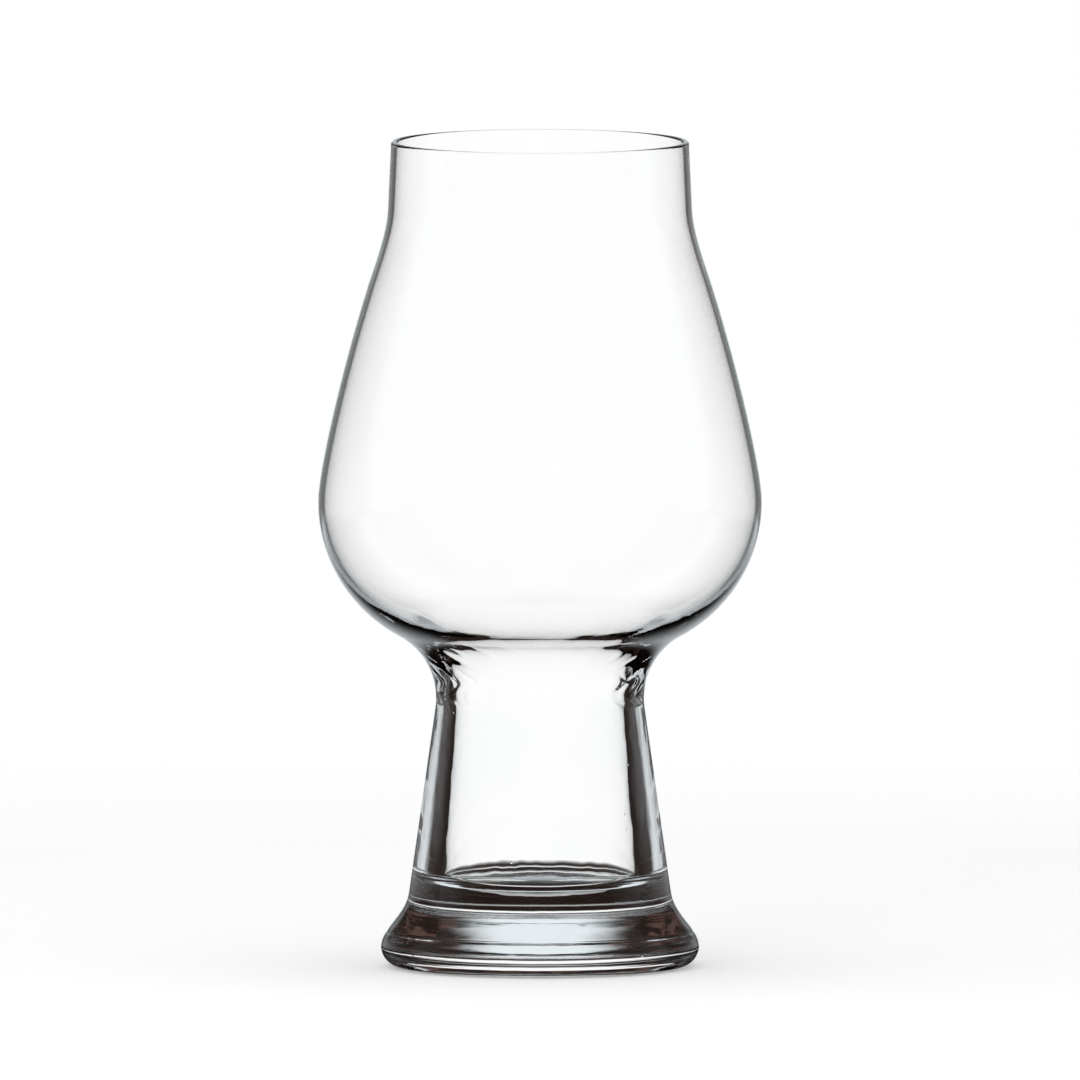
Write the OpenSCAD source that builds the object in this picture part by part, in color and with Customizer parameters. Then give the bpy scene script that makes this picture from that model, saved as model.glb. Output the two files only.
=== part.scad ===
// Tulip beer glass: a thin blown bowl, a thick hollow stem and a solid flared foot, fused in one line.
// The axis is Z and the table is at zero. Lengths are in millimetres, angles in degrees.

/* [Bowl] */
// Height of the bowl, from the waist to the rim
bowl_h = 117.5; // [100:0.5:150]
// Outer diameter at the rim
rim_d = 62.8; // [50:0.2:80]
// Outer diameter where the straight lip ends
lip_d = 64; // [50:0.2:80]
// Height of the straight lip, down from the rim
lip_h = 14; // [6:0.5:22]
// Outer diameter at the shoulder, where the wall leans most
shoulder_d = 70.4; // [56:0.2:88]
// Height of the shoulder, down from the rim
shoulder_drop = 27.5; // [23:0.5:45]
// Lean of the wall at the shoulder
shoulder_lean = 18.5; // [8:0.5:25]
// Outer diameter at the widest point
bulb_d = 93.4; // [80:0.2:112]
// Height of the widest point, up from the waist
bulb_rise = 41.5; // [36:0.5:55]
// Radius of the arc under the widest point
bulb_arc_r = 32; // [24:0.5:36]
// Thickness of the wall from the rim to the widest point
wall = 1.3; // [0.8:0.1:2.5]
// Thickness of the bowl's underside
under_wall = 3.4; // [2:0.1:5]

/* [Stem] */
// Height of the stem, from the foot to the waist
stem_h = 41; // [28:0.5:60]
// Outer diameter at the waist, where bowl and stem are fused
waist_d = 43.8; // [36:0.2:54]
// Thickness of the wall at the waist
waist_wall = 4.4; // [2:0.1:8]
// Outer diameter where stem and foot are fused
stem_d = 55.2; // [51:0.2:62]
// Thickness of the wall at the bottom of the well
stem_wall = 7.6; // [4:0.1:12]
// Thickness of the well's floor
well_floor = 1.2; // [1:0.1:6]
// Radius between the well's wall and its floor
well_round = 3; // [1:0.1:8]

/* [Foot] */
// Height of the foot
foot_h = 15.5; // [10:0.5:28]
// Outer diameter at the widest point
foot_d = 66.9; // [64:0.2:84]
// Height of the widest point above the table
foot_edge_h = 4.2; // [2:0.1:8]
// Outer diameter of the ring that touches the table
rest_d = 58.8; // [46:0.2:62]
// Width of that ring
rest_w = 4; // [2:0.1:10]
// Depth of the hollow inside the ring
punt_h = 1.8; // [0.5:0.1:5]

/* [Hidden] */

// Handle lengths at both ends of a curve, as shares of the straight distance between its ends
lip_curve_shares = [0.18, 0.61];
shoulder_curve_shares = [0.34, 0.14];
foot_curve_shares = [0.39, 0.28];
// Radius of the throat's inner arc, as a share of the one that would meet the bulb's inner arc directly
throat_arc_share = 0.975;

// Straight steps that stand for one arc or curve
curve_steps = 20;
glass_tint = [0.80, 0.86, 0.87, 0.45];
$fn = 180;

// Heights above the table
waist_z = foot_h + stem_h;
rim_z = waist_z + bowl_h;

// Stations on the outside of the glass, as radius and height
rim_round_r = wall / 2;
rim_centre = [rim_d / 2 - rim_round_r, rim_z - rim_round_r];
lip = [lip_d / 2, rim_z - lip_h];
shoulder = [shoulder_d / 2, rim_z - shoulder_drop];
bulb = [bulb_d / 2, waist_z + bulb_rise];
waist = [waist_d / 2, waist_z];
stem_end = [stem_d / 2, foot_h];
foot_edge = [foot_d / 2, foot_edge_h];
rest_r = rest_d / 2;

// Stations on the inside
throat = waist - [waist_wall, 0];
well_centre = stem_end + [-stem_wall - well_round, well_floor + well_round];

// The lip leans as the line from the rim's rounding to the end of the lip
lip_lean = atan2(lip.x - rim_d / 2, lip_h - rim_round_r);

// Direction downwards that leans away from the axis
function downward(lean) = [sin(lean), -cos(lean)];

// Point at an angle round a centre
function around(centre, radius, angle) = centre + radius * [cos(angle), sin(angle)];

// Points of an arc. The first one is left out, unless first is 0, because it ends the run before.
function arc(centre, radius, from, to, first = 1) =
    [for (i = [first : curve_steps]) around(centre, radius, from + (to - from) * i / curve_steps)];

// Points of a cubic curve between two stations, with the wall's lean at each. The first point is left out.
function curve(start, start_lean, end, end_lean, shares) =
    let (
        reach = norm(end - start),
        start_handle = start + shares[0] * reach * downward(start_lean),
        end_handle = end - shares[1] * reach * downward(end_lean)
    )
    [for (i = [1 : curve_steps])
        let (t = i / curve_steps, s = 1 - t)
        s * s * s * start + 3 * s * s * t * start_handle + 3 * s * t * t * end_handle + t * t * t * end];

// Centre of the bulb's arc: it is upright at the widest point
function bulb_centre(widest, radius) = widest - [radius, 0];

// Radius of the waist's arc: it is upright at the waist and runs smoothly into the bulb's arc
function waist_radius(widest, radius, narrowest) =
    let (offset = narrowest - bulb_centre(widest, radius))
    (offset * offset - radius * radius) / (2 * (radius - offset.x));

// Centre of the waist's arc
function waist_centre(widest, radius, narrowest) = narrowest + [waist_radius(widest, radius, narrowest), 0];

// Underside of the bulb, from the widest point to the waist, as two arcs that meet smoothly
function underside(widest, radius, narrowest) =
    let (
        upper = bulb_centre(widest, radius),
        lower = waist_centre(widest, radius, narrowest),
        meeting = atan2(lower.y - upper.y, lower.x - upper.x)
    )
    concat(
        arc(upper, radius, 0, meeting),
        arc(lower, waist_radius(widest, radius, narrowest), 180 + meeting, 180)
    );

// Angle on the waist's arc at which a straight line leaves it to touch another circle from the other side.
// The side is -1 for a circle below the waist and 1 for a circle above it.
function leaving_angle(centre, radius, other_centre, other_radius, side) =
    let (offset = centre - other_centre)
    180 + atan2(offset.y, offset.x) + side * acos((radius + other_radius) / norm(offset));

// The same list from its last point to its first
function reversed(points) = [for (i = [len(points) - 1 : -1 : 0]) points[i]];

// Outer and inner arcs at the waist, and where straight sides leave them
outer_waist_r = waist_radius(bulb, bulb_arc_r, waist);
outer_waist_centre = waist_centre(bulb, bulb_arc_r, waist);
outer_leaving = leaving_angle(outer_waist_centre, outer_waist_r, stem_end, 0, -1);
stem_lean = outer_leaving - 180;
inner_bulb = bulb - [wall, 0];
inner_arc_r = bulb_arc_r - under_wall;
inner_bulb_centre = bulb_centre(inner_bulb, inner_arc_r);

// The throat's inner arc leaves room for a short straight slope below the bulb's inner arc
throat_r = throat_arc_share * waist_radius(inner_bulb, inner_arc_r, throat);
throat_centre = throat + [throat_r, 0];
slope_leaving = leaving_angle(throat_centre, throat_r, inner_bulb_centre, inner_arc_r, 1);
inner_leaving = leaving_angle(throat_centre, throat_r, well_centre, well_round, -1);

// Solid of revolution round the glass's axis
module turned(outline) {
    rotate_extrude() polygon(outline);
}

// Thin blown shell: rounded rim, straight lip, sloping shoulder, round bulb and thicker underside
module bowl() {
    upper_wall = concat(
        [lip],
        curve(lip, lip_lean, shoulder, shoulder_lean, lip_curve_shares),
        curve(shoulder, shoulder_lean, bulb, 0, shoulder_curve_shares)
    );
    outside = concat(
        arc(rim_centre, rim_round_r, 180, 0),
        upper_wall,
        underside(bulb, bulb_arc_r, waist)
    );
    inside = concat(
        [rim_centre - [rim_round_r, 0]],
        [for (point = upper_wall) point - [wall, 0]],
        arc(inner_bulb_centre, inner_arc_r, 0, slope_leaving - 180),
        arc(throat_centre, throat_r, slope_leaving, 180, 0)
    );
    color(glass_tint) turned(concat(outside, reversed(inside)));
}

// Thick hollow stem: waisted at the top, conical below, with a flat-floored well inside
module stem() {
    outside = concat(
        arc(outer_waist_centre, outer_waist_r, 180, outer_leaving, 0),
        [stem_end]
    );
    floor_line = [[0, stem_end.y], [0, well_centre.y - well_round]];
    inside = concat(
        arc(well_centre, well_round, -90, inner_leaving - 180, 0),
        arc(throat_centre, throat_r, inner_leaving, 180, 0)
    );
    color(glass_tint) turned(concat(outside, floor_line, inside));
}

// Solid foot: flared sides, a rounded edge, a flat ring to stand on and a shallow hollow inside it
module foot() {
    punt_r = rest_r - rest_w;
    punt_arc_r = (punt_r * punt_r + punt_h * punt_h) / (2 * punt_h);
    punt_centre = [0, punt_h - punt_arc_r];
    edge_w = foot_edge.x - rest_r;
    underneath = concat(
        arc(punt_centre, punt_arc_r, 90, 90 - asin(punt_r / punt_arc_r), 0),
        [[rest_r, 0]]
    );
    edge = [for (i = [1 : curve_steps])
        let (angle = -90 + 90 * i / curve_steps)
        [rest_r + edge_w * cos(angle), foot_edge_h + foot_edge_h * sin(angle)]];
    flare = concat([stem_end], curve(stem_end, stem_lean, foot_edge, 0, foot_curve_shares));
    rising_flare = [for (point = reversed(flare)) if (point.y > foot_edge.y) point];
    color(glass_tint) turned(concat(underneath, edge, rising_flare, [[0, foot_h]]));
}

bowl();
stem();
foot();
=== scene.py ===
# %% [markdown]
# # A tulip beer glass
# The object is a drinking glass of three fused portions: a thin blown bowl, a thick hollow stem and a
# solid flared foot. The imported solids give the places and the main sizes. This lesson dresses them as
# clear glass and lights them the way a studio photographs glass: bright behind, dark at the sides.

import bpy
import numpy as np
from mathutils import Euler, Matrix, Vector


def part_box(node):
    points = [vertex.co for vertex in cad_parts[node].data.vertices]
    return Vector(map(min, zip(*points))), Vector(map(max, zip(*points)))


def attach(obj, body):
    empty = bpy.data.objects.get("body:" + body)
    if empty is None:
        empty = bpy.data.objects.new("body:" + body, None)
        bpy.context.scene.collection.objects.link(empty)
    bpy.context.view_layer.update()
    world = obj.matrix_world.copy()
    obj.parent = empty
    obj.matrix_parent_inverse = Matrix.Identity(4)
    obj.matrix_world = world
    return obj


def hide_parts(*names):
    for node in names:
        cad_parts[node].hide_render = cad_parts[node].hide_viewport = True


GLOSSY_BOUNCES = 8

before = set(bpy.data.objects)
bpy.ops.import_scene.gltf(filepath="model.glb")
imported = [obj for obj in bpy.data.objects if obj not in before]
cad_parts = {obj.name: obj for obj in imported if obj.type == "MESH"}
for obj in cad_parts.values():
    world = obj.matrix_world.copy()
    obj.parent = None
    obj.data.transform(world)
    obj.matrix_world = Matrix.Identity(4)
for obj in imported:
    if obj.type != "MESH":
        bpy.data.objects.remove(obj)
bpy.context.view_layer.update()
bowl_low, bowl_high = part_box("bowl")
stem_low, stem_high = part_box("stem")
foot_low, foot_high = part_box("foot")
scene = bpy.context.scene
scene.view_settings.view_transform = "Standard"
scene.cycles.glossy_bounces = GLOSSY_BOUNCES

# %% [markdown]
# ## The camera
# The ellipses of the rim and of the well's floor are equally flat in the photograph, so the lens was long
# and far away. An orthographic camera has exactly that look. It stands a few degrees above the horizon,
# which is what the height of those ellipses against their width gives.

# %% Place the camera
CAMERA_TILT = np.radians(4.7)
CAMERA_DISTANCE = 1.5
CAMERA_REACH = 15.0
FRAME_WIDTH = 0.2272
FRAME_CENTRE_Z = 0.0898

camera_data = bpy.data.cameras.new("studio_camera")
camera_data.type = "ORTHO"
camera_data.ortho_scale = FRAME_WIDTH
camera_data.clip_end = CAMERA_REACH
camera = bpy.data.objects.new("studio_camera", camera_data)
camera.location = (
    0,
    -CAMERA_DISTANCE * np.cos(CAMERA_TILT),
    FRAME_CENTRE_Z + CAMERA_DISTANCE * np.sin(CAMERA_TILT),
)
camera.rotation_euler = Euler((np.pi / 2 - CAMERA_TILT, 0, 0))
scene.collection.objects.link(camera)
scene.camera = camera
print("camera tilt in degrees:", round(float(np.degrees(CAMERA_TILT)), 2))

# %% [markdown]
# ## Helpers for node trees
# Materials and the world are small graphs. A few helpers keep them short: one fills a socket, one makes a
# node of any kind, and the others make the three kinds that are needed most, for sums, ramps and mixed
# colours.


# %% Node helpers
def fill_socket(tree, socket, value):
    """Links a socket to the value if that is an output of a node, and sets the value otherwise."""
    if isinstance(value, bpy.types.NodeSocket):
        tree.links.new(value, socket)
    else:
        socket.default_value = value


def add_node(tree, kind, inputs=None, **settings):
    """Makes a node of a kind, sets its settings, and fills its inputs by name or number."""
    made = tree.nodes.new(kind)
    for name, value in settings.items():
        setattr(made, name, value)
    for key, value in (inputs or {}).items():
        fill_socket(tree, made.inputs[key], value)
    return made


def math(tree, operation, *values):
    """Makes a Math node and returns its result."""
    made = add_node(tree, "ShaderNodeMath", dict(enumerate(values)), operation=operation)
    return made.outputs[0]


def ramp(tree, value, low, high):
    """Rises smoothly from 0 where value is low to 1 where it is high."""
    made = add_node(
        tree,
        "ShaderNodeMapRange",
        {"Value": value, "From Min": low, "From Max": high},
        interpolation_type="SMOOTHSTEP",
    )
    return made.outputs["Result"]


def blend_colours(tree, share, first, second):
    """Mixes two colours: the first where share is 0 and the second where it is 1."""
    made = add_node(tree, "ShaderNodeMix", data_type="RGBA")
    for key, value in {"Factor": share, "A": first, "B": second}.items():
        fill_socket(tree, next(s for s in made.inputs if s.name == key and s.enabled), value)
    return next(s for s in made.outputs if s.enabled)


# %% [markdown]
# ## The studio
# Clear glass has no colour of its own: it shows what is round it. A photographer puts a white sheet
# behind it, so that it looks white, and keeps the sides dark, so that the edges look dark. Here the world
# does both. A ray that only passed through glass meets the white sheet. A ray that was mirrored in the
# glass, even once, meets the dark studio with its tall soft light boxes. The boxes repeat round the
# glass, so that its four sides look alike, and a dim stripe along the horizon stands for the table's far
# edge.


# %% Angles in the studio
LIGHT_BOXES = 4


def around_box(*degrees):
    """Angles from the middle of a light box, as values of a cosine that repeats from box to box."""
    return np.cos(LIGHT_BOXES * np.radians(degrees)).tolist()


def above_horizon(*degrees):
    """Angles above the horizon, as heights of a direction of length one."""
    return np.sin(np.radians(degrees)).tolist()


BOX_EDGES = around_box(26, 9)
EDGE_DIM_EDGES = around_box(6, 12)
FOOT_DIM_EDGES = around_box(8, 22)
BOX_TOP = above_horizon(31, 33)
BOX_BOTTOM = above_horizon(-1, -4)
STRIPE_TOP = above_horizon(10, 4)
STRIPE_BOTTOM = above_horizon(-9, -6)
CEILING_EDGES = above_horizon(6, 12)
BROWN_RISE = above_horizon(-3, 6)
print("light boxes round the glass:", LIGHT_BOXES)

# %% Where a ray leaves to
world = bpy.data.worlds.new("glass_studio")
world.use_nodes = True
scene.world = world
tree = world.node_tree
tree.nodes.clear()
way = add_node(tree, "ShaderNodeTexCoord").outputs["Generated"]
parts = add_node(tree, "ShaderNodeSeparateXYZ", {"Vector": way}).outputs
rise = parts["Z"]
turn = math(tree, "ARCTAN2", parts["X"], parts["Y"])
facing = math(tree, "COSINE", math(tree, "MULTIPLY", turn, LIGHT_BOXES))
edge_dim = ramp(tree, facing, *EDGE_DIM_EDGES)
foot_dim = ramp(tree, facing, *FOOT_DIM_EDGES)
above_bottom = ramp(tree, rise, *STRIPE_BOTTOM)
on_stripe = math(tree, "MULTIPLY", ramp(tree, rise, *STRIPE_TOP), above_bottom)
on_ceiling = ramp(tree, rise, *CEILING_EDGES)
above_box = ramp(tree, rise, *BOX_TOP)
below_box = math(tree, "MULTIPLY", ramp(tree, rise, *BOX_BOTTOM), above_bottom)
print("nodes for directions:", len(tree.nodes))

# %% [markdown]
# ## What a ray met on its way
# Light Path counts the surfaces that a ray crossed: none for a reflection on the outside, two through
# solid glass, and four through the bowl or the hollow stem. So the thin parts can meet paler gaps between
# the boxes than the thick ones do.
#
# The foot needs one more rule. Its underside mirrors the rays once, and they leave it rising, so each box
# has an upper edge and a soft side there. The thin dark lines along the foot are these ends of the box,
# bent by the glass. They could be drawn on the foot instead, but would then stay in place when the view
# moves.

# %% Sort the rays
AT_LEAST_ONE = 0.5
MORE_THAN_ONE = 1.5
MORE_THAN_TWO = 2.5

path = add_node(tree, "ShaderNodeLightPath").outputs
outside = math(tree, "LESS_THAN", path["Transmission Depth"], AT_LEAST_ONE)
both_walls = math(tree, "GREATER_THAN", path["Transmission Depth"], MORE_THAN_TWO)
not_both_walls = math(tree, "SUBTRACT", 1.0, both_walls)
in_solid = math(tree, "SUBTRACT", not_both_walls, outside)
mirrored = math(tree, "GREATER_THAN", path["Glossy Depth"], AT_LEAST_ONE)
mirrored_once = math(tree, "LESS_THAN", path["Glossy Depth"], MORE_THAN_ONE)
solid_once = math(tree, "MULTIPLY", in_solid, mirrored_once)
in_foot = math(tree, "MULTIPLY", solid_once, math(tree, "GREATER_THAN", rise, 0.0))
in_thin_edge = math(tree, "SUBTRACT", not_both_walls, in_foot)
past_box = math(tree, "MULTIPLY", solid_once, math(tree, "MAXIMUM", above_box, below_box))
within_box = math(tree, "SUBTRACT", 1.0, past_box)
on_box = math(tree, "MULTIPLY", ramp(tree, facing, *BOX_EDGES), within_box)
print("nodes for directions and rays:", len(tree.nodes))

# %% Colour what each ray meets
WHITE = (1.0, 1.0, 1.0, 1.0)
SOFT_LIGHT = 0.92
DARK_STUDIO = (0.018, 0.012, 0.010, 1.0)
BROWN_STUDIO = (0.095, 0.055, 0.047, 1.0)
BROWN_SCALE = 5.0
BROWN_EDGES = (0.48, 0.58)
LIGHT_BOX = (0.80, 0.85, 0.88, 1.0)
DIM_BOX = (0.10, 0.12, 0.125, 1.0)
PALE_GAP = (0.90, 0.90, 0.90, 1.0)
PALE_OUTSIDE_SHARE = 0.5

blotches = add_node(tree, "ShaderNodeTexNoise", {"Vector": way, "Scale": BROWN_SCALE}).outputs["Fac"]
brown = math(tree, "MULTIPLY", ramp(tree, blotches, *BROWN_EDGES), ramp(tree, rise, *BROWN_RISE))
room = blend_colours(tree, brown, DARK_STUDIO, BROWN_STUDIO)
pale_outside = math(tree, "MULTIPLY", on_stripe, math(tree, "MULTIPLY", outside, PALE_OUTSIDE_SHARE))
gap = blend_colours(tree, math(tree, "MAXIMUM", pale_outside, both_walls), room, PALE_GAP)
dim_foot = math(tree, "MULTIPLY", in_foot, foot_dim)
low_dim = math(tree, "MULTIPLY", on_stripe, math(tree, "MULTIPLY_ADD", in_thin_edge, edge_dim, dim_foot))
dim = math(tree, "MAXIMUM", low_dim, math(tree, "MULTIPLY", on_ceiling, both_walls))
box = blend_colours(tree, dim, LIGHT_BOX, DIM_BOX)
studio = blend_colours(tree, on_box, gap, box)
sheet = blend_colours(tree, math(tree, "MULTIPLY", on_ceiling, in_solid), WHITE, room)
seen = blend_colours(tree, mirrored, sheet, studio)
strength = math(tree, "MULTIPLY_ADD", path["Is Diffuse Ray"], SOFT_LIGHT - 1, 1.0)
background = add_node(tree, "ShaderNodeBackground", {"Color": seen, "Strength": strength})
add_node(tree, "ShaderNodeOutputWorld", {"Surface": background.outputs[0]})
print("nodes in the world:", len(tree.nodes))

# %% [markdown]
# ## The lamp
# One square soft box stands in front, to the left and above. It gives the glass its faint shadow on the
# floor. The world already holds every reflection that the glass shows, so the lamp itself is hidden from
# the glass.

# %% Build the lamp
LAMP_SIDE = 0.45
LAMP_POWER = 5.0
LAMP_WAY = np.array([-0.34, -0.86, 0.39])
LAMP_DISTANCE = 1.2
LAMP_AIM = np.array([0, 0, 0.015])

lamp_data = bpy.data.lights.new("front_box", "AREA")
lamp_data.size = LAMP_SIDE
lamp_data.energy = LAMP_POWER
lamp = bpy.data.objects.new("front_box", lamp_data)
lamp.location = LAMP_AIM + LAMP_DISTANCE * LAMP_WAY
lamp.rotation_euler = Vector(LAMP_WAY).to_track_quat("Z", "Y").to_euler()
lamp.visible_glossy = False
lamp.visible_transmission = False
scene.collection.objects.link(lamp)
print("lamp at:", [round(float(value), 3) for value in lamp.location])

# %% [markdown]
# ## The floor
# A pale round floor carries the glass and takes its shadow. It fades out towards its edge, so no line
# shows where it ends. Rays that come out of the glass meet no paint: from above the floor is clear and
# the white beyond it shows. Layer Weight tells how flat a ray meets it, and close to the foot a flat ray
# finds painted shade instead of white: a dark brown glow that stands in for the shade of a polished
# table which mirrors the dark room at flat angles.


# %% Paint the floor
def flat_on_floor(*degrees):
    """Angles between a ray and the floor, as values of Layer Weight's Facing."""
    return (1 - np.sin(np.radians(degrees))).tolist()


FLOOR_RADIUS = 0.6
FLOOR_FADE_SHARE = 0.45
FLOOR_COLOUR = (0.97, 0.97, 0.97, 1.0)
FLOOR_SHADE = (0.015, 0.009, 0.007, 1.0)
FLOOR_SHADE_EDGES = (0.090, 0.055)
SIDE_SHADE_EDGES = (0.35, 0.25)
SIDE_EDGES = around_box(14, 24)
NEAR_POLISH_EDGES = flat_on_floor(55, 30)
SIDE_POLISH_EDGES = flat_on_floor(30, 12)


def floor_shade(tree, path, place, distance):
    """1 where a ray in glass meets the painted shade: close to the foot, or further out between light
    boxes.
    """
    parts = add_node(tree, "ShaderNodeSeparateXYZ", {"Vector": place}).outputs
    turn = math(tree, "ARCTAN2", parts["X"], parts["Y"])
    facing = math(tree, "COSINE", math(tree, "MULTIPLY", turn, LIGHT_BOXES))
    facing_away = add_node(tree, "ShaderNodeLayerWeight").outputs["Facing"]
    mirrored = math(tree, "GREATER_THAN", path["Glossy Depth"], AT_LEAST_ONE)
    in_solid = math(tree, "LESS_THAN", path["Transmission Depth"], MORE_THAN_TWO)
    in_solid = math(tree, "SUBTRACT", in_solid, mirrored)
    beside = math(tree, "MULTIPLY", in_solid, ramp(tree, facing, *SIDE_EDGES))
    beside = math(tree, "MULTIPLY", beside, ramp(tree, distance, *SIDE_SHADE_EDGES))
    beside = math(tree, "MULTIPLY", beside, ramp(tree, facing_away, *SIDE_POLISH_EDGES))
    flat = math(tree, "MAXIMUM", mirrored, ramp(tree, facing_away, *NEAR_POLISH_EDGES))
    near = math(tree, "MULTIPLY", flat, ramp(tree, distance, *FLOOR_SHADE_EDGES))
    return math(tree, "MAXIMUM", near, beside)


def floor_material():
    """Pale matte paint for the camera, fading out with the distance, and painted shade for rays in glass.
    """
    made = bpy.data.materials.new("pale_floor")
    made.use_nodes = True
    tree = made.node_tree
    tree.nodes.clear()
    path = add_node(tree, "ShaderNodeLightPath").outputs
    place = add_node(tree, "ShaderNodeTexCoord").outputs["Object"]
    distance = add_node(tree, "ShaderNodeVectorMath", {0: place}, operation="LENGTH").outputs["Value"]
    solid = ramp(tree, distance, FLOOR_RADIUS, FLOOR_RADIUS * FLOOR_FADE_SHARE)
    shown = math(tree, "MULTIPLY", path["Is Camera Ray"], solid)
    shaded = floor_shade(tree, path, place, distance)
    clear = add_node(tree, "ShaderNodeBsdfTransparent").outputs[0]
    # Painted shade: a flat dark brown glow, standing in for the table's shade and its reflection of the
    # dark room.
    dim = add_node(tree, "ShaderNodeEmission", {"Color": FLOOR_SHADE}).outputs[0]
    paint = add_node(tree, "ShaderNodeBsdfDiffuse", {"Color": FLOOR_COLOUR}).outputs[0]
    in_glass = add_node(tree, "ShaderNodeMixShader", {0: shaded, 1: clear, 2: dim}).outputs[0]
    faded = add_node(tree, "ShaderNodeMixShader", {0: shown, 1: in_glass, 2: paint}).outputs[0]
    add_node(tree, "ShaderNodeOutputMaterial", {"Surface": faded})
    return made


floor_paint = floor_material()
print("floor paint:", floor_paint.name)

# %% Lay the floor
FLOOR_GAP = 0.0002
FLOOR_SIDES = 96

angle = np.linspace(0, 2 * np.pi, FLOOR_SIDES, endpoint=False)
level = np.full(FLOOR_SIDES, -FLOOR_GAP)
rim_points = np.stack([FLOOR_RADIUS * np.cos(angle), FLOOR_RADIUS * np.sin(angle), level], 1)
floor_mesh = bpy.data.meshes.new("floor")
floor_mesh.from_pydata(rim_points.tolist(), [], [list(range(FLOOR_SIDES))])
floor_mesh.materials.append(floor_paint)
floor = bpy.data.objects.new("floor", floor_mesh)
scene.collection.objects.link(floor)
print("floor radius in metres:", FLOOR_RADIUS)

# %% [markdown]
# ## The outline
# Every point of the glass is a point of one outline, turned about the axis. The outline starts under the
# foot, runs up the outside, over the rim, and down the inside to the floor of the well. It is made of
# arcs and of cubic curves between a few stations, in the same way as the solids, so the dressed glass
# fits them exactly.

# %% Stations of the outline
WALL = 0.0013
UNDER_WALL = 0.0034
THROAT_ARC_SHARE = 0.975
RIM_R = 0.0314
LIP_R = 0.032
LIP_H = 0.014
SHOULDER_R = 0.0352
SHOULDER_DROP = 0.0275
SHOULDER_LEAN = np.radians(18.5)
BULB_RISE = 0.0415
BULB_ARC_R = 0.032
WAIST_R = 0.0219
WAIST_WALL = 0.0044
STEM_WALL = 0.0076
WELL_FLOOR = 0.0012
WELL_ROUND = 0.003
FOOT_EDGE_H = 0.0042

RIM_Z = bowl_high.z
WAIST_Z = bowl_low.z
FOOT_Z = foot_high.z
lip = np.array([LIP_R, RIM_Z - LIP_H])
shoulder = np.array([SHOULDER_R, RIM_Z - SHOULDER_DROP])
bulb = np.array([bowl_high.x, WAIST_Z + BULB_RISE])
waist = np.array([WAIST_R, WAIST_Z])
stem_end = np.array([stem_high.x, FOOT_Z])
foot_edge = np.array([foot_high.x, FOOT_EDGE_H])
throat = waist - [WAIST_WALL, 0]
well_centre = stem_end + [-STEM_WALL - WELL_ROUND, WELL_FLOOR + WELL_ROUND]
rim_round = WALL / 2
rim_centre = np.array([RIM_R - rim_round, RIM_Z - rim_round])
rim_start = rim_centre + [rim_round, 0]
lip_lean = np.arctan2(LIP_R - RIM_R, LIP_H - rim_round)
print("stations in metres:", {"bulb": bulb.round(4).tolist(), "waist": waist.round(4).tolist()})

# %% Arcs and curves
STEPS = 32


def downward(lean):
    """Direction in the outline's plane that points down and leans away from the axis."""
    return np.array([np.sin(lean), -np.cos(lean)])


def around(centre, radius, angle):
    """Point at an angle on a circle."""
    return centre + radius * np.array([np.cos(angle), np.sin(angle)])


def arc(centre, radius, start, end, steps=STEPS):
    """Points of an arc between two angles, without the first one, which ends the run before."""
    angle = np.linspace(start, end, steps + 1)[1:, None]
    return centre + radius * np.hstack([np.cos(angle), np.sin(angle)])


def curve(start, start_lean, end, end_lean, shares, steps=STEPS):
    """Points of a cubic curve that leaves and arrives at the given leans, without the first one."""
    reach = np.linalg.norm(end - start)
    out_handle = start + shares[0] * reach * downward(start_lean)
    in_handle = end - shares[1] * reach * downward(end_lean)
    t = np.linspace(0, 1, steps + 1)[1:, None]
    s = 1 - t
    return s**3 * start + 3 * s**2 * t * out_handle + 3 * s * t**2 * in_handle + t**3 * end


def line(start, end, steps):
    """Points of a straight run, without the first one."""
    t = np.linspace(0, 1, steps + 1)[1:, None]
    return start + t * (end - start)


# %% Arcs that touch
def waist_arc(widest, radius, narrowest):
    """Centre and radius of the arc that is upright at the waist and runs smoothly into the bulb's arc."""
    offset = narrowest - (widest - [radius, 0])
    waist_r = (offset @ offset - radius**2) / (2 * (radius - offset[0]))
    return narrowest + [waist_r, 0], waist_r


def underside(widest, radius, narrowest):
    """The bulb's arc from the widest point down, and the waist's arc that follows it to the waist."""
    upper = widest - [radius, 0]
    lower, lower_r = waist_arc(widest, radius, narrowest)
    meeting = np.arctan2(*(lower - upper)[::-1])
    first = arc(upper, radius, 0, meeting)
    second = arc(lower, lower_r, np.pi + meeting, np.pi)
    return np.vstack([first, second])


def leaving_angle(centre, radius, other_centre, other_radius, side):
    """Angle on an arc where a straight line leaves it to touch another circle from the other side.

    The side is -1 for a circle below the arc and 1 for a circle above it.
    """
    offset = centre - other_centre
    lean = np.arccos((radius + other_radius) / np.linalg.norm(offset))
    return np.pi + np.arctan2(offset[1], offset[0]) + side * lean


outer_centre, outer_r = waist_arc(bulb, BULB_ARC_R, waist)
outer_leaving = leaving_angle(outer_centre, outer_r, stem_end, 0, -1)
print("lean of the stem in degrees:", round(float(np.degrees(outer_leaving - np.pi)), 2))

# %% Outside of the bowl and the stem
LIP_CURVE_SHARES = (0.18, 0.61)
SHOULDER_CURVE_SHARES = (0.34, 0.14)
STRAIGHT_STEPS = 24
LIP_STEPS = 8
CORNER_STEPS = 16

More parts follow.
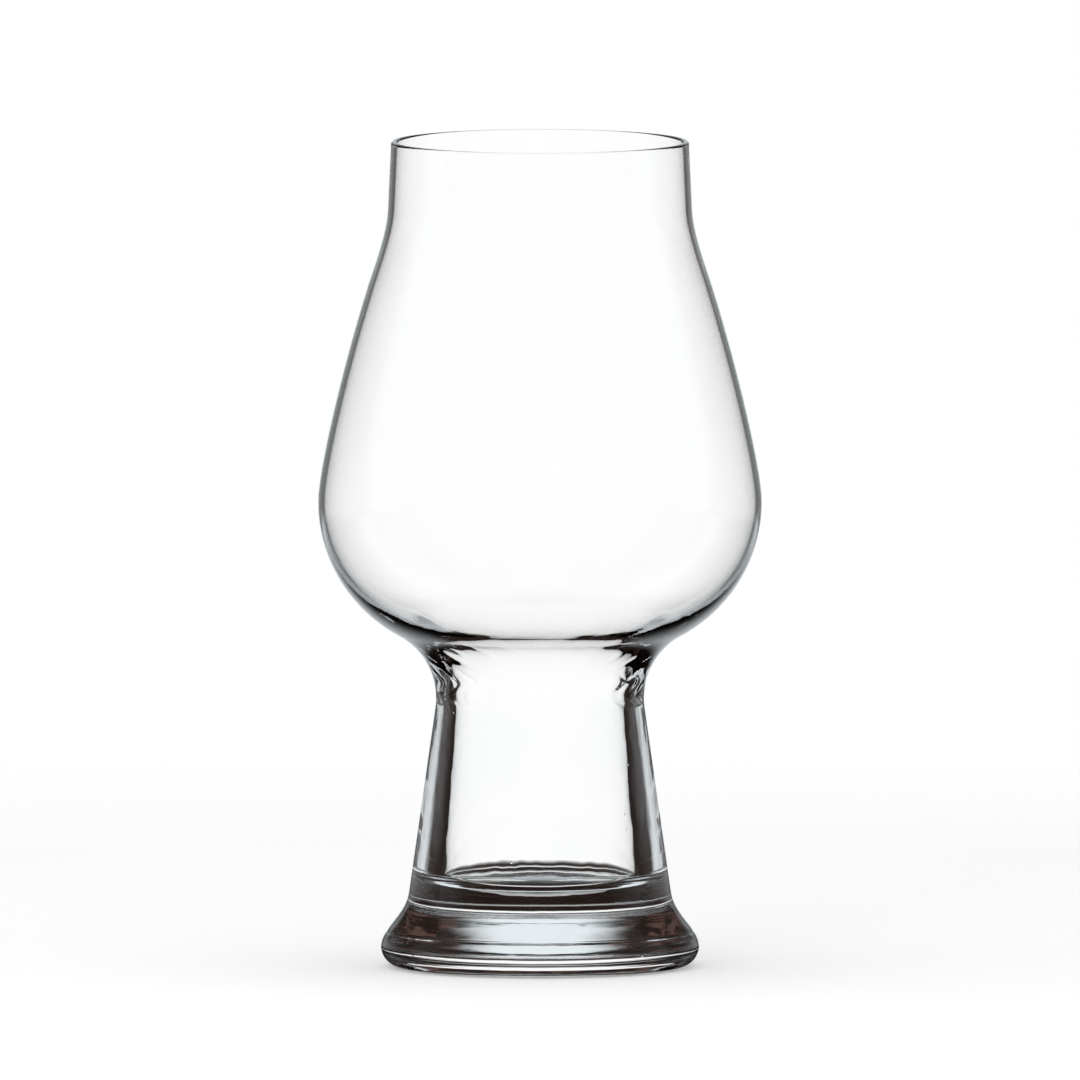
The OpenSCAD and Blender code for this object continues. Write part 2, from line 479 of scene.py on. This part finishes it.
lip_line = line(rim_start, lip, LIP_STEPS)
lip_curve = curve(lip, lip_lean, shoulder, SHOULDER_LEAN, LIP_CURVE_SHARES)
shoulder_curve = curve(shoulder, SHOULDER_LEAN, bulb, 0, SHOULDER_CURVE_SHARES)
upper_wall = np.vstack([lip_line, lip_curve, shoulder_curve])
bowl_outside = np.vstack([upper_wall, underside(bulb, BULB_ARC_R, waist)])
neck = arc(outer_centre, outer_r, np.pi, outer_leaving, CORNER_STEPS)
stem_outside = np.vstack([neck, line(neck[-1], stem_end, STRAIGHT_STEPS)])
print("points outside:", len(bowl_outside), len(stem_outside))

# %% Outside of the foot and its underside
REST_R = 0.0294
REST_W = 0.004
PUNT_H = 0.0018
FOOT_CURVE_SHARES = (0.39, 0.28)
FLARE_STEPS = 96

flare = curve(stem_end, outer_leaving - np.pi, foot_edge, 0, FOOT_CURVE_SHARES, FLARE_STEPS)
edge_size = np.array([foot_edge[0] - REST_R, FOOT_EDGE_H])
edge = [REST_R, FOOT_EDGE_H] + edge_size * arc(np.zeros(2), 1, 0, -np.pi / 2)
punt_r = REST_R - REST_W
ring = line(np.array([REST_R, 0]), np.array([punt_r, 0]), CORNER_STEPS)
punt_arc_r = (punt_r**2 + PUNT_H**2) / (2 * PUNT_H)
punt_angle = np.arcsin(punt_r / punt_arc_r)
punt = arc(np.array([0, PUNT_H - punt_arc_r]), punt_arc_r, np.pi / 2 - punt_angle, np.pi / 2)
foot_outside = np.vstack([flare, edge, ring, punt])
print("points on the foot:", len(foot_outside))

# %% Inside of the bowl and the stem
inner_bulb = bulb - [WALL, 0]
inner_arc_r = BULB_ARC_R - UNDER_WALL
inner_bulb_centre = inner_bulb - [inner_arc_r, 0]
inner_r = THROAT_ARC_SHARE * waist_arc(inner_bulb, inner_arc_r, throat)[1]
inner_centre = throat + [inner_r, 0]
slope_leaving = leaving_angle(inner_centre, inner_r, inner_bulb_centre, inner_arc_r, 1)
inner_leaving = leaving_angle(inner_centre, inner_r, well_centre, WELL_ROUND, -1)

inner_side = arc(inner_bulb_centre, inner_arc_r, 0, slope_leaving - np.pi)
inner_slope = line(inner_side[-1], around(inner_centre, inner_r, slope_leaving), STRAIGHT_STEPS)
inner_throat = arc(inner_centre, inner_r, slope_leaving, np.pi)
bowl_inside = np.vstack([upper_wall - [WALL, 0], inner_side, inner_slope, inner_throat])

throat_below = arc(inner_centre, inner_r, np.pi, inner_leaving, CORNER_STEPS)
corner_start = around(well_centre, WELL_ROUND, inner_leaving - np.pi)
well_wall = line(throat_below[-1], corner_start, STRAIGHT_STEPS)
corner = arc(well_centre, WELL_ROUND, inner_leaving - np.pi, -np.pi / 2, CORNER_STEPS)
well_floor = line(corner[-1], np.array([0, corner[-1][1]]), STRAIGHT_STEPS)
stem_inside = np.vstack([throat_below, well_wall, corner, well_floor])
print("points inside:", len(bowl_inside), len(stem_inside))

# %% Join the outline from under the foot to the floor of the well
RIM_STEPS = 20

over_rim = arc(rim_centre, rim_round, 0, np.pi, RIM_STEPS)
foot_upwards = np.vstack([foot_outside[::-1], stem_end])
stem_upwards = np.vstack([stem_outside[::-1][1:], waist])
bowl_upwards = np.vstack([bowl_outside[::-1][1:], rim_start])
outline = np.vstack([foot_upwards, stem_upwards, bowl_upwards, over_rim, bowl_inside, stem_inside])
at_stem_end = len(foot_outside)
at_waist = at_stem_end + len(stem_outside)
at_rim = at_waist + len(bowl_outside) + RIM_STEPS // 2
at_throat = len(outline) - len(stem_inside) - 1
print("points on the outline:", len(outline), "cut at", at_stem_end, at_waist, at_throat)

# %% [markdown]
# ## Ridges and a groove
# Where the bowl was drawn out above the stem, the inside of the real glass is not quite smooth. It
# chilled there in small ridges, and they throw the bright crooked strokes at the neck. A bump in the
# material would not bend the outline of these strokes, so the ridges are real: the inner wall moves out
# and in by a tenth of a millimetre. The foot has a level groove as shallow as that, where the two halves
# of its mould met, which shows as a thin line.

# %% Shape the ridges and the groove
RIDGE_DEPTH = 0.00012
RIDGE_SIDE_SHARE = 0.8
RIDGE_Z = 0.0660
RIDGE_REACH = 0.0120
RIDGE_COUNTS = np.array([8, 13, 21])
RIDGE_PITCHES = np.array([0.017, 0.011, 0.007])
RIDGE_WANDER = 1.8
RIDGE_SHARPNESS = 8
GOLDEN_ANGLE = np.pi * (3 - 5**0.5)
GROOVE_Z = 0.0073
GROOVE_DEPTH = 0.0001
GROOVE_WIDTH = 0.0003


def chill_ridges(z, angle):
    """Sum of narrow ridges, each an even power of a cosine, that wander round the axis on their way."""
    counts = RIDGE_COUNTS[:, None, None]
    swing = 2 * np.pi * z[None, :, None] / RIDGE_PITCHES[:, None, None]
    phase = counts * angle + RIDGE_WANDER * np.sin(swing + GOLDEN_ANGLE * counts) + GOLDEN_ANGLE * counts
    ridges = np.cos(phase / 2) ** RIDGE_SHARPNESS * np.sin(swing / 2 + counts)
    window = np.clip(1 - ((z - RIDGE_Z) / RIDGE_REACH) ** 2, 0, None)
    sides = 1 - RIDGE_SIDE_SHARE * np.sin(angle) ** 2
    return RIDGE_DEPTH * window[:, None] * sides * ridges.sum(0)


def mould_groove(z):
    """One level groove, a bell curve over the height."""
    return GROOVE_DEPTH * np.exp(-(((z - GROOVE_Z) / GROOVE_WIDTH) ** 2))


print("deepest groove in metres:", float(mould_groove(outline[:, 1]).max()))

# %% [markdown]
# ## The skin
# The outline is turned into a skin: a grid whose rows are points of the outline and whose columns are
# angles. The normals are the cross products of the directions along the rows and the columns. They could
# be left to Blender, but then each piece would round off its own border, and the fused seams would show.

# %% Turn the outline
TURNS = 300

theta = np.linspace(0, 2 * np.pi, TURNS, endpoint=False)
height = outline[:, 1]
rows = np.arange(len(outline))
inside = rows > at_rim
on_flare = (rows < at_stem_end) & (height > FOOT_EDGE_H)
grooved = outline[:, 0] - on_flare * mould_groove(height)
radius = grooved[:, None] + inside[:, None] * chill_ridges(height, theta)
skin = np.stack([radius * np.cos(theta), radius * np.sin(theta), np.repeat(outline[:, 1:], TURNS, 1)], 2)
along = np.gradient(skin, axis=0)
round_about = np.roll(skin, -1, 1) - np.roll(skin, 1, 1)
normals = np.cross(round_about, along)
normals[0] = (0, 0, -1)
normals[-1] = (0, 0, 1)
normals /= np.linalg.norm(normals, axis=2, keepdims=True)
print("skin grid:", skin.shape)

# %% [markdown]
# ## Pieces from the skin
# The bowl, the stem and the foot are strips of this one skin, closed with flat faces where the glass is
# fused. The normals come from the whole skin, so light crosses a fused seam as if it were not there. The
# flat faces between the pieces get a material that shows nothing, since there is no surface inside fused
# glass.
#
# Strips and flat faces are both grids of numbers that name points of the skin, so one function makes the
# faces of both. A row on the axis names one point over and over, and its quads become triangles.

# %% Number the points
points = np.vstack([skin.reshape(-1, 3), [0, 0, FOOT_Z]])
point_normals = np.vstack([normals.reshape(-1, 3), [0, 0, 1]])
number = np.arange(skin.shape[0] * TURNS).reshape(-1, TURNS)
number[0] = number[0, 0]
number[-1] = number[-1, 0]
foot_top_centre = np.full(TURNS, len(points) - 1)
print("points:", len(points))

# %% Build closed pieces
GLASS, SEAM = 0, 1


def grid_faces(grid):
    """Quads between neighbouring rows of a grid of numbers that closes round the axis."""
    low, high = grid[:-1], grid[1:]
    quads = np.stack([low, np.roll(low, -1, 1), np.roll(high, -1, 1), high], 2)
    return quads.reshape(-1, 4)


def build_piece(name, strips, caps, materials):
    """Closed mesh from strips, which are grids of numbers, and caps, which are (outer row, inner row, up).

    Up is 1 for a flat face that looks up and -1 for one that looks down.
    """
    glass = np.vstack([grid_faces(strip) for strip in strips])
    flat = [grid_faces(np.stack([outer, inner][::up])) for outer, inner, up in caps]
    faces = np.vstack([glass, *flat])
    ups = np.repeat([up for _, _, up in caps], [len(cap) for cap in flat])
    flat_normals = np.zeros((len(ups), 4, 3))
    flat_normals[:, :, 2] = ups[:, None]
    corner_normals = np.concatenate([point_normals[glass], flat_normals])
    corners = faces != np.roll(faces, 1, 1)
    sides = corners.sum(1)
    used = np.unique(faces)

    mesh = bpy.data.meshes.new(name)
    mesh.vertices.add(len(used))
    mesh.vertices.foreach_set("co", points[used].ravel())
    mesh.loops.add(int(sides.sum()))
    mesh.loops.foreach_set("vertex_index", np.searchsorted(used, faces[corners]))
    mesh.polygons.add(len(faces))
    mesh.polygons.foreach_set("loop_start", np.cumsum(sides) - sides)
    for material in materials:
        mesh.materials.append(material)
    slots = np.repeat([GLASS, SEAM], [len(glass), len(ups)])
    mesh.polygons.foreach_set("material_index", slots)
    mesh.polygons.foreach_set("use_smooth", np.ones(len(faces), bool))
    mesh.update(calc_edges=True)
    mesh.normals_split_custom_set(corner_normals[corners].tolist())
    made = bpy.data.objects.new(name, mesh)
    scene.collection.objects.link(made)
    return made


# %% [markdown]
# ## Flaws in the glass
# Even good clear glass is not perfect. Turning and drawing leave faint waves in its surface, a few tiny
# bubbles called seeds stay in it, and thick glass has soft patches of a cooler tint. They could be
# painted as pictures, but noise on Object coordinates has no seam round the glass. Both kinds of glass
# here show the same flaws in different measure, so each flaw is a node group, built once and placed in
# each material with its own values.


# %% Node group for waves
def new_group(name, inputs, output):
    """Makes a node group with named inputs of given kinds and one value as output."""
    tree = bpy.data.node_groups.new(name, "ShaderNodeTree")
    for label, kind in inputs.items():
        tree.interface.new_socket(label, in_out="INPUT", socket_type=kind)
    tree.interface.new_socket(output, in_out="OUTPUT", socket_type="NodeSocketFloat")
    return tree, tree.nodes.new("NodeGroupInput").outputs


WAVE_DETAIL = 1.0


def wave_group():
    """Smooth noise, from 0 to 1, on a place stretched by a number of waves per metre on each axis."""
    inputs = {"Place": "NodeSocketVector", "Waves": "NodeSocketVector"}
    tree, given = new_group("surface_waves", inputs, "Height")
    both = {0: given["Place"], 1: given["Waves"]}
    stretched = add_node(tree, "ShaderNodeVectorMath", both, operation="MULTIPLY").outputs[0]
    settings = {"Vector": stretched, "Scale": 1.0, "Detail": WAVE_DETAIL}
    noise = add_node(tree, "ShaderNodeTexNoise", settings).outputs["Fac"]
    add_node(tree, "NodeGroupOutput", {"Height": noise})
    return tree


# %% Node groups for seeds and patches
PATCH_DETAIL = 3.0
PATCH_EDGES = (0.40, 0.62)


def seed_group():
    """Small domes round scattered points: 1 within a share of the spacing, for a share of the points."""
    kinds = {name: "NodeSocketFloat" for name in ("Per Metre", "Size Share", "Count Share")}
    tree, given = new_group("seeds", {"Place": "NodeSocketVector", **kinds}, "Dome")
    settings = {"Vector": given["Place"], "Scale": given["Per Metre"]}
    cells = add_node(tree, "ShaderNodeTexVoronoi", settings).outputs
    dome = ramp(tree, cells["Distance"], given["Size Share"], 0.0)
    chance = add_node(tree, "ShaderNodeSeparateColor", {"Color": cells["Color"]}).outputs[0]
    kept = math(tree, "LESS_THAN", chance, given["Count Share"])
    add_node(tree, "NodeGroupOutput", {"Dome": math(tree, "MULTIPLY", dome, kept)})
    return tree


def patch_group():
    """Soft patches: noise, raised so that most places are near 0 or near 1."""
    inputs = {"Place": "NodeSocketVector", "Per Metre": "NodeSocketFloat"}
    tree, given = new_group("soft_patches", inputs, "Patch")
    settings = {"Vector": given["Place"], "Scale": given["Per Metre"], "Detail": PATCH_DETAIL}
    noise = add_node(tree, "ShaderNodeTexNoise", settings).outputs["Fac"]
    add_node(tree, "NodeGroupOutput", {"Patch": ramp(tree, noise, *PATCH_EDGES)})
    return tree


FLAWS = {"waves": wave_group(), "seeds": seed_group(), "patches": patch_group()}
print("node groups:", [group.name for group in FLAWS.values()])

# %% [markdown]
# ## Two kinds of clear glass
# The bowl is blown and turned, so its waves lie in level lines and are very faint. The stem and the foot
# are pressed: their waves have no direction and are deeper, and there are more seeds. The ring under the
# foot is scuffed by tables, which shows as roughness. Glass in a lamp's shadow lets most of the light
# pass, which the Mix Shader does: a shadow ray meets a pale tint instead of the glass.

# %% Bump, tint and roughness of the glass
PATCHES_PER_METRE = 45.0
HAZE = 0.012
SEEDS_PER_METRE = 330.0
SEED_SIZE_SHARE = 0.11
SEED_DEPTH = 0.00003
SCUFF_EDGES = (0.0006, 0.0001)
SCUFFS = (900.0, 900.0, 900.0)
SCUFF_ROUGHNESS = 0.45


def place_flaw(tree, flaw, inputs):
    """Places a flaw's node group and returns its value."""
    return add_node(tree, "ShaderNodeGroup", inputs, node_tree=FLAWS[flaw]).outputs[0]


def uneven_normal(tree, place, waves, wave_depth, seed_share):
    """Normal of a surface that is raised by waves and by seeds, each times its depth in metres."""
    wave = place_flaw(tree, "waves", {"Place": place, "Waves": waves})
    settings = {"Per Metre": SEEDS_PER_METRE, "Size Share": SEED_SIZE_SHARE, "Count Share": seed_share}
    seeds = place_flaw(tree, "seeds", {"Place": place, **settings})
    height = math(tree, "MULTIPLY_ADD", wave, wave_depth, math(tree, "MULTIPLY", seeds, SEED_DEPTH))
    return add_node(tree, "ShaderNodeBump", {"Height": height, "Distance": 1.0}).outputs[0]


def scuffed_roughness(tree, place, patch):
    """Roughness: noise on the lowest ring, which fades out upwards, and a trace of haze in the patches."""
    level = add_node(tree, "ShaderNodeSeparateXYZ", {"Vector": place}).outputs["Z"]
    scuffs = place_flaw(tree, "waves", {"Place": place, "Waves": SCUFFS})
    scuffed = math(tree, "MULTIPLY", ramp(tree, level, *SCUFF_EDGES), scuffs)
    return math(tree, "MULTIPLY_ADD", scuffed, SCUFF_ROUGHNESS, math(tree, "MULTIPLY", patch, HAZE))


# %% Clear glass and the seam inside it
GLASS_IOR = 1.52
GLASS_SHINE = (0.1, 0.1, 0.1, 1.0)
SHADOW_TINT = (0.94, 0.945, 0.945, 1.0)


def empty_material(name):
    """A new material and its node tree, without any node."""
    made = bpy.data.materials.new(name)
    made.use_nodes = True
    made.node_tree.nodes.clear()
    return made, made.node_tree


def clear_glass(name, tint, waves, wave_depth, seed_share):
    """Clear glass: a bump of waves and seeds, tint and haze in patches, and scuffs on the lowest ring."""
    made, tree = empty_material(name)
    place = add_node(tree, "ShaderNodeTexCoord").outputs["Object"]
    patch = place_flaw(tree, "patches", {"Place": place, "Per Metre": PATCHES_PER_METRE})
    finish = {
        "Base Color": blend_colours(tree, patch, WHITE, tint),
        "Roughness": scuffed_roughness(tree, place, patch),
        "Normal": uneven_normal(tree, place, waves, wave_depth, seed_share),
        "IOR": GLASS_IOR,
        "Specular Tint": GLASS_SHINE,
        "Transmission Weight": 1.0,
    }
    glass = add_node(tree, "ShaderNodeBsdfPrincipled", finish).outputs[0]
    veil = add_node(tree, "ShaderNodeBsdfTransparent", {"Color": SHADOW_TINT}).outputs[0]
    shadow = add_node(tree, "ShaderNodeLightPath").outputs["Is Shadow Ray"]
    shown = add_node(tree, "ShaderNodeMixShader", {0: shadow, 1: glass, 2: veil}).outputs[0]
    add_node(tree, "ShaderNodeOutputMaterial", {"Surface": shown})
    return made


def fused_seam():
    """Nothing to see: the flat face inside fused glass."""
    made, tree = empty_material("fused_seam")
    clear = add_node(tree, "ShaderNodeBsdfTransparent", {"Color": WHITE}).outputs[0]
    add_node(tree, "ShaderNodeOutputMaterial", {"Surface": clear})
    return made


# %% Make the materials
BLOWN = {
    "tint": (0.996, 0.998, 0.998, 1.0),
    "waves": (30.0, 30.0, 350.0),
    "wave_depth": 0.000004,
    "seed_share": 0.02,
}
PRESSED = {
    "tint": (0.985, 0.992, 0.993, 1.0),
    "waves": (260.0, 260.0, 160.0),
    "wave_depth": 0.000045,
    "seed_share": 0.25,
}

seam = fused_seam()
blown = [clear_glass("blown_glass", **BLOWN), seam]
pressed = [clear_glass("pressed_glass", **PRESSED), seam]
print("glass materials:", blown[0].name, pressed[0].name)

# %% [markdown]
# ## The three pieces
# Each piece takes its strips of the skin and stands for the solid of the same name, so it rides on the
# same body.

# %% Make the foot, the stem and the bowl
foot_top, waist_ring, throat_ring = number[[at_stem_end, at_waist, at_throat]]
foot = build_piece(
    "foot_glass", [number[: at_stem_end + 1]], [(foot_top, foot_top_centre, 1)], pressed
)
stem = build_piece(
    "stem_glass",
    [number[at_stem_end : at_waist + 1], number[at_throat:]],
    [(foot_top, foot_top_centre, -1), (waist_ring, throat_ring, 1)],
    pressed,
)
bowl = build_piece(
    "bowl_glass", [number[at_waist : at_throat + 1]], [(waist_ring, throat_ring, -1)], blown
)
for piece, node in ((bowl, "bowl"), (stem, "stem"), (foot, "foot")):
    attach(piece, "root")
    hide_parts(node)
    print(piece.name, "faces:", len(piece.data.polygons))
